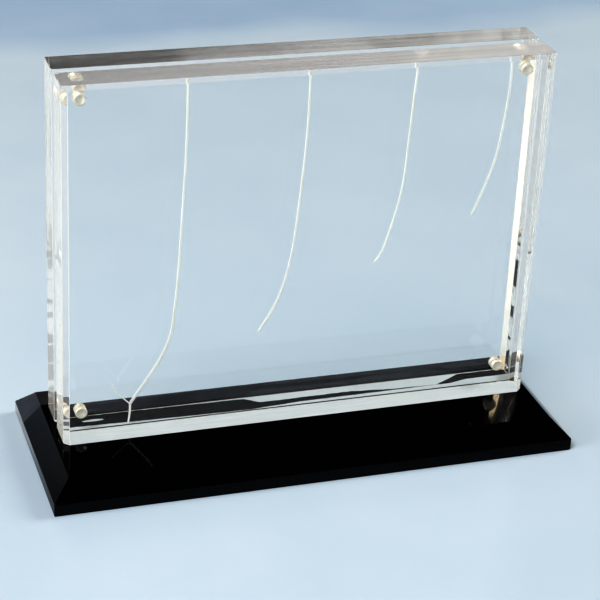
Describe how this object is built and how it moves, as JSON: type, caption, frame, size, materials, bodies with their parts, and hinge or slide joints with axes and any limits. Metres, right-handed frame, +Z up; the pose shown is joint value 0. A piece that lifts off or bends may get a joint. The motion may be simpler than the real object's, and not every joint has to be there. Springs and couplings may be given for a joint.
{
  "type": "block photo stand",
  "caption": "Photo stand of two thick clear blocks on a bevelled black base; the front block pulls off its corner magnets to change the print.",
  "frame": {"origin": "middle of the base's underside", "axes": "+X to the right along the base's long side, +Y away from the viewer through the blocks, +Z up"},
  "size_m": [0.2206, 0.0842, 0.1661],
  "materials": {
    "black_acrylic": "polished black acrylic",
    "clear_acrylic": "flame polished clear acrylic",
    "nickel_plate": "bright nickel plate with a warm tint",
    "pale_strand": "pale straw, satin"
  },
  "bodies": {
    "stand": {"base_plinth": "black_acrylic", "rear_block": "clear_acrylic", "rear_magnet_top_left": "nickel_plate", "rear_magnet_top_right": "nickel_plate", "rear_magnet_bottom_left": "nickel_plate", "rear_magnet_bottom_right": "nickel_plate", "display_strand_1": "pale_strand", "display_strand_2": "pale_strand", "display_strand_3": "pale_strand", "display_strand_4": "pale_strand"},
    "front_panel": {"front_block": "clear_acrylic", "front_magnet_top_left": "nickel_plate", "front_magnet_top_right": "nickel_plate", "front_magnet_bottom_left": "nickel_plate", "front_magnet_bottom_right": "nickel_plate"}
  },
  "joints": [
    {"name": "front_block_pull_off", "type": "slide", "parent": "stand", "child": "front_panel", "axis": [0, -1, 0], "range_m": [0, 0.06]}
  ]
}
